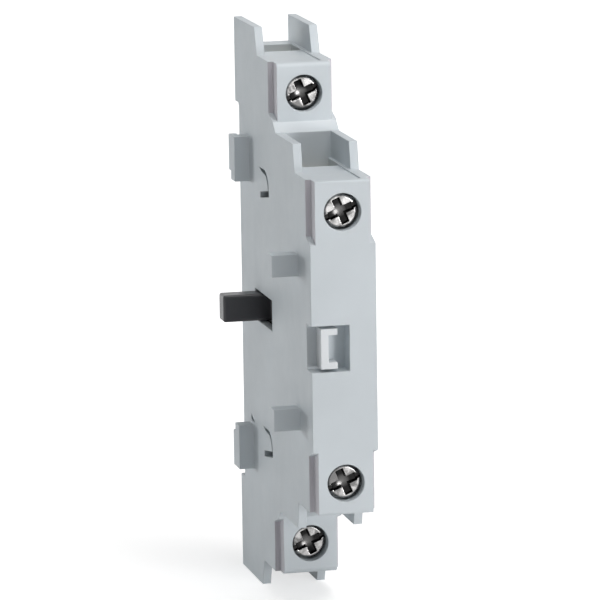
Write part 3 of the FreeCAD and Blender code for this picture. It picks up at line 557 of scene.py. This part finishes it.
def remap(tree, value, low, high, new_low, new_high):
    node = add(tree, "ShaderNodeMapRange", None, {
        "Value": value, "From Min": low, "From Max": high, "To Min": new_low, "To Max": new_high})
    return node.outputs["Result"]


def blend_colour(tree, share, one, two):
    """Colour from one to two by share; sockets 6, 7 and 2 are the colours of a Mix node."""
    return add(tree, "ShaderNodeMix", {"data_type": "RGBA"}, {0: share, 6: one, 7: two}).outputs[2]


def combine(tree, operation, *values, clamped=False):
    """Result of a Math node on one to three values."""
    return add(tree, "ShaderNodeMath", {"operation": operation, "use_clamp": clamped}, dict(
        enumerate(values))).outputs[0]


def object_place(tree):
    return add(tree, "ShaderNodeTexCoord").outputs["Object"]


def noise(tree, place, scale, detail, rough, distortion=0.0):
    return add(tree, "ShaderNodeTexNoise", None, {
        "Vector": place, "Scale": scale, "Detail": detail, "Roughness": rough,
        "Distortion": distortion}).outputs["Fac"]


def mark_of(tree, name):
    return add(tree, "ShaderNodeAttribute", {"attribute_name": name}).outputs["Fac"]


def new_group(name, inputs, outputs):
    """Empty node group with named float sockets; returns it, what it is given and what it gives."""
    tree = bpy.data.node_groups.new(name, "ShaderNodeTree")
    for label, value in inputs:
        socket = tree.interface.new_socket(name=label, in_out="INPUT", socket_type="NodeSocketFloat")
        socket.default_value = value
    for label in outputs:
        tree.interface.new_socket(name=label, in_out="OUTPUT", socket_type="NodeSocketFloat")
    given = tree.nodes.new("NodeGroupInput").outputs
    wanted = tree.nodes.new("NodeGroupOutput").inputs
    return tree, given, wanted


def mould_grain_group():
    """Fine spark-eroded grain, broad unevenness of tone, and patches of gloss."""
    tree, given, wanted = new_group(
        "mould_grain", [("Grain Scale", 5200.0), ("Patch Scale", 90.0)], ("Height", "Tone", "Gloss"))
    place = object_place(tree)
    grain = noise(tree, place, given["Grain Scale"], detail=3.0, rough=0.6)
    pits = add(tree, "ShaderNodeTexVoronoi", {"feature": "SMOOTH_F1"}, {
        "Vector": place, "Scale": given["Grain Scale"], "Smoothness": 0.6}).outputs["Distance"]
    tone = noise(tree, place, given["Patch Scale"], detail=2.0, rough=0.5)
    gloss = noise(tree, place, 420.0, detail=4.0, rough=0.65)
    tree.links.new(combine(tree, "MULTIPLY_ADD", pits, 0.45, grain), wanted["Height"])
    tree.links.new(remap(tree, tone, 0.32, 0.68, 0.0, 1.0), wanted["Tone"])
    tree.links.new(remap(tree, gloss, 0.3, 0.7, 0.0, 1.0), wanted["Gloss"])
    return tree


def rim_wear_and_highlight_group():
    """Mask along rounded edges for scuffing and a painted highlight, broken up where handling has scuffed
    them less.
    """
    tree, given, wanted = new_group(
        "rim_wear_and_highlight", [("Amount", 0.6), ("Break Scale", 700.0)], ("Mask",))
    painted_and_rubbed = noise(tree, object_place(tree), given["Break Scale"], detail=3.0, rough=0.6)
    patchy = remap(tree, painted_and_rubbed, 0.3, 0.7, 0.45, 1.0)
    worn_and_highlit = combine(tree, "MULTIPLY", mark_of(tree, "rim"), patchy)
    mask = combine(tree, "MULTIPLY", worn_and_highlit, given["Amount"], clamped=True)
    tree.links.new(mask, wanted["Mask"])
    return tree


def settled_dust_group():
    """Mask of faint dust on faces that look up."""
    tree, given, wanted = new_group("settled_dust", [("Amount", 0.2)], ("Mask",))
    facing = add(tree, "ShaderNodeSeparateXYZ", None, {
        "Vector": add(tree, "ShaderNodeNewGeometry").outputs["Normal"]}).outputs["Z"]
    upward = remap(tree, facing, 0.4, 1.0, 0.0, 1.0)
    fallen = noise(tree, object_place(tree), 900.0, detail=5.0, rough=0.7)
    both = combine(tree, "MULTIPLY", upward, remap(tree, fallen, 0.4, 0.75, 0.0, 1.0))
    mask = combine(tree, "MULTIPLY", both, given["Amount"], clamped=True)
    tree.links.new(mask, wanted["Mask"])
    return tree


def drawn_metal_group():
    """Fine lines of rolled or drawn metal, long along one axis, with duller stains."""
    tree, given, wanted = new_group(
        "drawn_metal", [("Across X", 2600.0), ("Across Y", 2600.0), ("Across Z", 120.0)],
        ("Height", "Stain", "Gloss"))
    place = object_place(tree)
    scale = add(tree, "ShaderNodeCombineXYZ", None, {
        "X": given["Across X"], "Y": given["Across Y"], "Z": given["Across Z"]}).outputs[0]
    stretched = add(tree, "ShaderNodeVectorMath", {"operation": "MULTIPLY"}, {
        0: place, 1: scale}).outputs[0]
    lines = noise(tree, stretched, 1.0, detail=4.0, rough=0.6)
    stain = noise(tree, place, 330.0, detail=5.0, rough=0.62, distortion=0.6)
    tree.links.new(lines, wanted["Height"])
    tree.links.new(remap(tree, stain, 0.42, 0.72, 0.0, 1.0), wanted["Stain"])
    tree.links.new(remap(tree, lines, 0.3, 0.7, 0.0, 1.0), wanted["Gloss"])
    return tree


def turned_rings_group():
    """Fine rings left by turning, read from the way along the piece's own skin."""
    tree, given, wanted = new_group("turned_rings", [("Rings", 900.0)], ("Height", "Gloss"))
    skin = add(tree, "ShaderNodeUVMap", {"uv_map": "turned"}).outputs["UV"]
    along = add(tree, "ShaderNodeSeparateXYZ", None, {"Vector": skin}).outputs["Y"]
    rings = add(tree, "ShaderNodeTexNoise", {"noise_dimensions": "1D"}, {
        "W": along, "Scale": given["Rings"], "Detail": 2.0, "Roughness": 0.5}).outputs["Fac"]
    patches = noise(tree, object_place(tree), 1300.0, detail=4.0, rough=0.6)
    tree.links.new(rings, wanted["Height"])
    tree.links.new(remap(tree, patches, 0.3, 0.7, 0.0, 1.0), wanted["Gloss"])
    return tree


def tarnish_group():
    """Mask of duller patches on plating, broken by finer specks."""
    tree, given, wanted = new_group("tarnish", [("Patch Scale", 620.0)], ("Mask",))
    place = object_place(tree)
    broad = noise(tree, place, given["Patch Scale"], detail=2.0, rough=0.45, distortion=0.8)
    fine = noise(tree, place, 3800.0, detail=3.0, rough=0.6)
    both = combine(tree, "MULTIPLY_ADD", fine, 0.22, broad)
    tree.links.new(remap(tree, both, 0.50, 0.68, 0.0, 1.0), wanted["Mask"])
    return tree


GROUP_MAKERS = {
    "mould_grain": mould_grain_group,
    "rim_wear_and_highlight": rim_wear_and_highlight_group,
    "settled_dust": settled_dust_group,
    "drawn_metal": drawn_metal_group,
    "turned_rings": turned_rings_group,
    "tarnish": tarnish_group,
}


def use_group(tree, name, inputs=None):
    """Place a shared group, which is built the first time it is asked for."""
    made = bpy.data.node_groups.get(name) or GROUP_MAKERS[name]()
    return add(tree, "ShaderNodeGroup", {"node_tree": made}, inputs).outputs


def new_material(name):
    """Material with a Principled shader, returned with its tree and that shader."""
    material = bpy.data.materials.new(name)
    material.use_nodes = True
    tree = material.node_tree
    return material, tree, tree.nodes["Principled BSDF"]


def raise_surface(tree, shader, height, strength, distance):
    bump = add(tree, "ShaderNodeBump", None, {
        "Height": height, "Strength": strength, "Distance": distance})
    tree.links.new(bump.outputs["Normal"], shader.inputs["Normal"])


def set_roughness(tree, shader, gloss, rough):
    """Roughness between the two numbers of rough, by the mask gloss."""
    tree.links.new(remap(tree, gloss, 0.0, 1.0, rough[0], rough[1]), shader.inputs["Roughness"])


def opaque(colour):
    return tuple(colour) + (1.0,)


def shade(colour, factor):
    return opaque(min(1.0, part * factor) for part in colour)


def edge_wear_and_highlight_colour(colour):
    """Colour of a scuffed and painted-highlit edge: part of the way from the plastic's own colour to a
    pale grey.
    """
    return opaque(part + (EDGE_GREY - part) * EDGE_SHARE for part in colour)


def plastic(name, colour, rough, worn_and_highlit, dust, grain_depth, painted_sunk_shade=None):
    """Moulded plastic: uneven tone, fine grain, edges paler from scuffing and a painted highlight, and a
    little dust on top.

    painted_sunk_shade is the colour painted in the rabbets as shade, for a piece that has any.
    """
    material, tree, shader = new_material(name)
    grain = use_group(tree, "mould_grain")
    wear_and_highlight = use_group(tree, "rim_wear_and_highlight", {"Amount": worn_and_highlit})
    settled = use_group(tree, "settled_dust", {"Amount": dust})
    plain = blend_colour(tree, grain["Tone"], shade(colour, 0.965), shade(colour, 1.03))
    # Paler edges: scuffing and a painted highlight along the middle of each rounding
    painted_and_rubbed = blend_colour(tree, wear_and_highlight["Mask"], plain, edge_wear_and_highlight_colour(colour))
    # Painted shade on the upright faces of the rabbets
    if painted_sunk_shade is not None:
        painted_and_rubbed = blend_colour(tree, mark_of(tree, "rabbet"), painted_and_rubbed, painted_sunk_shade)
    dusted_and_painted = blend_colour(tree, settled["Mask"], painted_and_rubbed, DUST)
    tree.links.new(dusted_and_painted, shader.inputs["Base Color"])
    set_roughness(tree, shader, grain["Gloss"], rough)
    shader.inputs["IOR"].default_value = 1.49
    raise_surface(tree, shader, grain["Height"], grain_depth, GRAIN_HEIGHT)
    return material


def join_metal(tree, shader, colour, pattern, rough, strength, height):
    """Join a metal's colour to its shader, with the gloss and the fine relief of its pattern."""
    tree.links.new(colour, shader.inputs["Base Color"])
    set_roughness(tree, shader, pattern["Gloss"], rough)
    shader.inputs["Metallic"].default_value = 1.0
    raise_surface(tree, shader, pattern["Height"], strength, height)


def drawn_metal(name, colour, stain_colour, rough, across):
    """Rolled or drawn metal: fine lines, with duller and darker stains."""
    material, tree, shader = new_material(name)
    lines = use_group(tree, "drawn_metal", dict(zip(("Across X", "Across Y", "Across Z"), across)))
    tinted = blend_colour(tree, lines["Stain"], opaque(colour), opaque(stain_colour))
    join_metal(tree, shader, tinted, lines, rough, strength=0.25, height=LINE_HEIGHT)
    return material


def turned_metal(name, colour, rough, rings):
    """Plated turned metal: fine rings under a bright plating with faint dull patches."""
    material, tree, shader = new_material(name)
    turned = use_group(tree, "turned_rings", {"Rings": rings})
    dull = blend_colour(tree, turned["Gloss"], opaque(colour), shade(colour, 0.88))
    join_metal(tree, shader, dull, turned, rough, strength=0.3, height=RING_HEIGHT)
    return material


def screw_metal(name, colour, rough, rings):
    """Plated screw: bright plating with darker tarnish, and painted shade in its cross and slot that is
    less dark at the middle.
    """
    material, tree, shader = new_material(name)
    turned = use_group(tree, "turned_rings", {"Rings": rings})
    tarnish = use_group(tree, "tarnish")
    recess = mark_of(tree, "recess")
    plated = blend_colour(tree, tarnish["Mask"], opaque(colour), shade(colour, 0.34))
    # Painted shade in the recess: near black along the cross's arms and in the slot, less dark at the
    # deepest middle
    floor = blend_colour(
        tree, remap(tree, recess, 0.86, 1.0, 0.0, 1.0), shade(colour, 0.05), shade(colour, 0.26))
    # The painted shade is blended over the plating wherever the recess is more than a little deep
    painted_sunk_shade = blend_colour(tree, remap(tree, recess, 0.06, 0.3, 0.0, 1.0), plated, floor)
    join_metal(tree, shader, painted_sunk_shade, turned, rough, strength=0.3, height=RING_HEIGHT)
    return material


def finish_node(name, material):
    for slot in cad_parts[name].material_slots:
        slot.material = material


def box_of(name):
    low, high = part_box(name)
    return np.array(low), np.array(high)


# Operators, one for each piece or group of like pieces

class CONTACTBLOCK_OT_mouldings(bpy.types.Operator):
    """Round and finish the grey housing and its side cover"""

    bl_idname = "contactblock.mouldings"
    bl_label = "Housing And Cover"

    def execute(self, context):
        width = context.scene.contact_block_sizes.edge_round
        colour = context.scene.contact_block_colours.moulding
        # Colour painted in the rabbets as shade
        painted_sunk_shade = opaque(context.scene.contact_block_colours.rabbet)
        grey = plastic(
            "moulding_grey", colour, rough=(0.44, 0.58), worn_and_highlit=0.7, dust=0.10, grain_depth=0.16,
            painted_sunk_shade=painted_sunk_shade)
        for node in ("housing", "side_cover"):
            piece = rounded_copy(node, f"{node}_moulding", width)
            mark_rabbets(piece.data)
            piece.data.materials.append(grey)
            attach(piece, "housing")
            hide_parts(node)
        return {"FINISHED"}


class CONTACTBLOCK_OT_marker(bpy.types.Operator):
    """Round and finish the marker clip in the front pocket"""

    bl_idname = "contactblock.marker"
    bl_label = "Marker Clip"

    def execute(self, context):
        width = context.scene.contact_block_sizes.edge_round
        colour = context.scene.contact_block_colours.marker
        piece = rounded_copy("marker_clip", "marker_bracket", width)
        piece.data.materials.append(plastic(
            "marker_white", colour, rough=(0.40, 0.52), worn_and_highlit=0.5, dust=0.05, grain_depth=0.10))
        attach(piece, "housing")
        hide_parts("marker_clip")
        return {"FINISHED"}


class CONTACTBLOCK_OT_slide(bpy.types.Operator):
    """Round and finish the black slide with its lever"""

    bl_idname = "contactblock.slide"
    bl_label = "Slide And Lever"

    def execute(self, context):
        width = context.scene.contact_block_sizes.slide_round
        colour = context.scene.contact_block_colours.slide
        piece = rounded_copy("actuator_slide", "slide_lever", width)
        piece.data.materials.append(plastic(
            "slide_black", colour, rough=(0.30, 0.44), worn_and_highlit=0.5, dust=0.03, grain_depth=0.14))
        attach(piece, "slide")
        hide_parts("actuator_slide")
        return {"FINISHED"}


class CONTACTBLOCK_OT_screws(bpy.types.Operator):
    """Shape the terminal screws with a cross, a slot and a thread"""

    bl_idname = "contactblock.screws"
    bl_label = "Terminal Screws"

    def execute(self, context):
        sizes = context.scene.contact_block_sizes
        colour = context.scene.contact_block_colours.screw
        nickel = screw_metal("screw_nickel", colour, rough=(0.14, 0.32), rings=2400.0)
        for name in TERMINALS:
            node = f"screw_{name}"
            low, high = box_of(node)
            points, share = screw_points(sizes, (high[0] - low[0]) / 2, high[1] - low[1])
            points = points + np.array(((low[0] + high[0]) / 2, low[1], (low[2] + high[2]) / 2))
            piece = link_new(f"{node}_turned", tube_mesh(f"{node}_turned", points, share))
            piece.data.materials.append(nickel)
            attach(piece, node)
            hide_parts(node)
        return {"FINISHED"}


class CONTACTBLOCK_OT_springs(bpy.types.Operator):
    """Wind the contact springs and the return spring"""

    bl_idname = "contactblock.springs"
    bl_label = "Springs"

    def execute(self, context):
        sizes = context.scene.contact_block_sizes
        colour = context.scene.contact_block_colours.spring
        steel = turned_metal("spring_steel", colour, rough=(0.24, 0.38), rings=300.0)
        for node, wire, turns, body, joint, held_end in (
            ("spring_opening", sizes.contact_wire, 4, "slide", "opening_bridge_slide", FRONT),
            ("spring_closing", sizes.contact_wire, 4, "slide", "closing_bridge_slide", REAR),
            ("spring_return", sizes.return_wire, 9, "housing", "lever_slide", FRONT),
        ):
            low, high = box_of(node)
            length = high[1] - low[1]
            radius = (high[0] - low[0] - wire) / 2
            points = coil_points(length, radius, wire, turns)
            points = points + np.array(((low[0] + high[0]) / 2, low[1], 0.0))
            piece = link_new(f"{node}_coil", tube_mesh(f"{node}_coil", points))
            piece.data.materials.append(steel)
            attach(piece, body)
            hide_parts(node)
            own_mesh(piece)
        return {"FINISHED"}


class CONTACTBLOCK_OT_contacts(bpy.types.Operator):
    """Finish the cages, strips, bridges and rivets inside the block"""

    bl_idname = "contactblock.contacts"
    bl_label = "Cages And Contacts"

    def execute(self, context):
        colours = context.scene.contact_block_colours
        cage = drawn_metal(
            "cage_zinc", colours.cage, stain_colour=(0.42, 0.40, 0.34), rough=(0.30, 0.48),
            across=(2600.0, 160.0, 2600.0))
        strip = drawn_metal(
            "strip_brass", colours.strip, stain_colour=(0.52, 0.34, 0.16), rough=(0.24, 0.40),
            across=(2600.0, 2600.0, 120.0))
        silver = drawn_metal(
            "tip_silver", colours.tip, stain_colour=(0.62, 0.60, 0.56), rough=(0.22, 0.36),
            across=(900.0, 900.0, 900.0))
        for name in TERMINALS:
            finish_node(f"cage_{name}", cage)
            finish_node(f"strip_{name}", strip)
            finish_node(f"tip_{name}", silver)
        for name in ("opening", "closing"):
            finish_node(f"bridge_{name}", strip)
            finish_node(f"tips_{name}", silver)
        return {"FINISHED"}


def aim(position, target, up):
    """Placement that looks from position to target, turned so that up points up in its view."""
    forward = (target - position).normalized()
    right = forward.cross(up).normalized()
    upright = right.cross(forward)
    turn = Matrix((right, upright, -forward)).transposed()
    return Matrix.Translation(position) @ turn.to_4x4()


def area_light(name, direction, distance, size, power, colour):
    """Square lamp at a distance from the lit point in a direction, turned to that point."""
    light = bpy.data.lights.new(name, "AREA")
    light.size = size
    light.energy = power
    light.color = colour
    lamp = link_new(name, light)
    position = LIT_POINT + Vector(direction).normalized() * distance
    lamp.matrix_world = aim(position, LIT_POINT, Vector((0.0, 0.0, 1.0)))
    lamp.visible_camera = False


def seen_directly(tree):
    """1 where the camera, a reflection or a view through glass meets the surface first."""
    path = add(tree, "ShaderNodeLightPath").outputs
    either = combine(tree, "MAXIMUM", path["Is Camera Ray"], path["Is Glossy Ray"])
    return combine(tree, "MAXIMUM", either, path["Is Transmission Ray"])


def floor_material():
    """Pale matte paper with a faint fibre, lifted to white where it is looked at."""
    material, tree, shader = new_material("floor_paper")
    place = object_place(tree)
    fibre = noise(tree, place, 900.0, detail=4.0, rough=0.6)
    paper = blend_colour(tree, fibre, (0.88, 0.88, 0.88, 1.0), (0.92, 0.92, 0.92, 1.0))
    tree.links.new(paper, shader.inputs["Base Color"])
    shader.inputs["Roughness"].default_value = 0.9
    shader.inputs["Specular IOR Level"].default_value = 0.1
    reach = add(tree, "ShaderNodeVectorMath", {"operation": "LENGTH"}, {0: place}).outputs["Value"]
    lift = add(tree, "ShaderNodeEmission", None, {
        "Color": (1.0, 1.0, 1.0, 1.0), "Strength": remap(tree, reach, 0.05, 0.2, 0.6, 1.0)})
    none = add(tree, "ShaderNodeEmission", None, {"Color": (0.0, 0.0, 0.0, 1.0), "Strength": 0.0})
    chosen = add(tree, "ShaderNodeMixShader", None, {
        0: seen_directly(tree), 1: none.outputs[0], 2: lift.outputs[0]})
    total = add(tree, "ShaderNodeAddShader", None, {
        0: shader.outputs[0], 1: chosen.outputs[0]})
    tree.links.new(total.outputs[0], tree.nodes["Material Output"].inputs["Surface"])
    raise_surface(tree, shader, fibre, 0.1, FIBRE_HEIGHT)
    return material


def white_world(room_light):
    """World that is white where it is looked at, and otherwise as bright as the room light."""
    world = bpy.data.worlds.new("studio")
    world.use_nodes = True
    tree = world.node_tree
    ground = tree.nodes["Background"]
    ground.inputs["Color"].default_value = (1.0, 1.0, 1.0, 1.0)
    strength = remap(tree, seen_directly(tree), 0.0, 1.0, room_light, 1.0)
    tree.links.new(strength, ground.inputs["Strength"])
    return world


def camera_view(stage):
    """Camera at azimuth, elevation and distance from the viewed point, rolled about its sight."""
    azimuth, elevation, roll = stage.azimuth, stage.elevation, stage.roll
    back = Vector((
        math.sin(azimuth) * math.cos(elevation), -math.cos(azimuth) * math.cos(elevation),
        math.sin(elevation)))
    level = Vector((math.cos(azimuth), math.sin(azimuth), 0.0))
    upright = back.cross(level)
    right = level * math.cos(roll) + upright * math.sin(roll)
    up = upright * math.cos(roll) - level * math.sin(roll)
    view = bpy.data.cameras.new("view")
    view.sensor_width = 36.0
    view.lens = stage.lens
    view.clip_start = 0.01
    view.clip_end = 20.0
    camera = link_new("view", view)
    position = VIEWED_POINT + back * stage.distance
    camera.matrix_world = aim(position, VIEWED_POINT + right * AIM_RIGHT + up * AIM_UP, up)
    return camera


class CONTACTBLOCK_OT_stage(bpy.types.Operator):
    """Set the floor, the light and the camera round the block"""

    bl_idname = "contactblock.stage"
    bl_label = "Floor, Light And Camera"

    def execute(self, context):
        stage = context.scene.contact_block_stage
        floor = link_new("paper_sweep", sweep_mesh(
            "paper_sweep", half_width=1.6, front=-1.4, rear=0.95, floor=cad_box[0].z, rise=1.7,
            bend=0.35))
        floor.data.materials.append(floor_material())
        context.scene.world = white_world(stage.room_light)
        area_light(
            "key_light", direction=(0.50, -0.86, 0.0), distance=0.5, size=0.12,
            power=stage.key_power, colour=WARM)
        area_light(
            "top_light", direction=(0.10, -0.30, 0.95), distance=0.26, size=0.14,
            power=stage.top_power, colour=WARM)
        area_light(
            "side_light", direction=(-0.62, 0.74, 0.0), distance=0.8, size=0.2,
            power=stage.side_power, colour=COOL)
        context.scene.camera = camera_view(stage)
        context.scene.view_settings.view_transform = "Standard"
        return {"FINISHED"}


OPERATORS = (
    CONTACTBLOCK_OT_mouldings,
    CONTACTBLOCK_OT_marker,
    CONTACTBLOCK_OT_slide,
    CONTACTBLOCK_OT_screws,
    CONTACTBLOCK_OT_springs,
    CONTACTBLOCK_OT_contacts,
    CONTACTBLOCK_OT_stage,
)


class CONTACTBLOCK_PT_pieces(bpy.types.Panel):
    """List of the block's pieces"""

    bl_idname = "CONTACTBLOCK_PT_pieces"
    bl_label = "Contact Block"
    bl_space_type = "VIEW_3D"
    bl_region_type = "UI"
    bl_category = "Contact Block"

    def draw(self, context):
        for kind in OPERATORS:
            self.layout.operator(kind.bl_idname)


CLASSES = (ContactBlockSizes, ContactBlockColours, ContactBlockStage) + OPERATORS + (
    CONTACTBLOCK_PT_pieces,)


def register():
    for kind in CLASSES:
        bpy.utils.register_class(kind)
    bpy.types.Scene.contact_block_sizes = bpy.props.PointerProperty(type=ContactBlockSizes)
    bpy.types.Scene.contact_block_colours = bpy.props.PointerProperty(type=ContactBlockColours)
    bpy.types.Scene.contact_block_stage = bpy.props.PointerProperty(type=ContactBlockStage)


def unregister():
    del bpy.types.Scene.contact_block_stage
    del bpy.types.Scene.contact_block_colours
    del bpy.types.Scene.contact_block_sizes
    for kind in reversed(CLASSES):
        bpy.utils.unregister_class(kind)


def main():
    """Make every piece and the stage."""
    register()
    bpy.ops.contactblock.mouldings()
    bpy.ops.contactblock.marker()
    bpy.ops.contactblock.slide()
    bpy.ops.contactblock.screws()
    bpy.ops.contactblock.springs()
    bpy.ops.contactblock.contacts()
    bpy.ops.contactblock.stage()


if __name__ == "__main__":
    main()
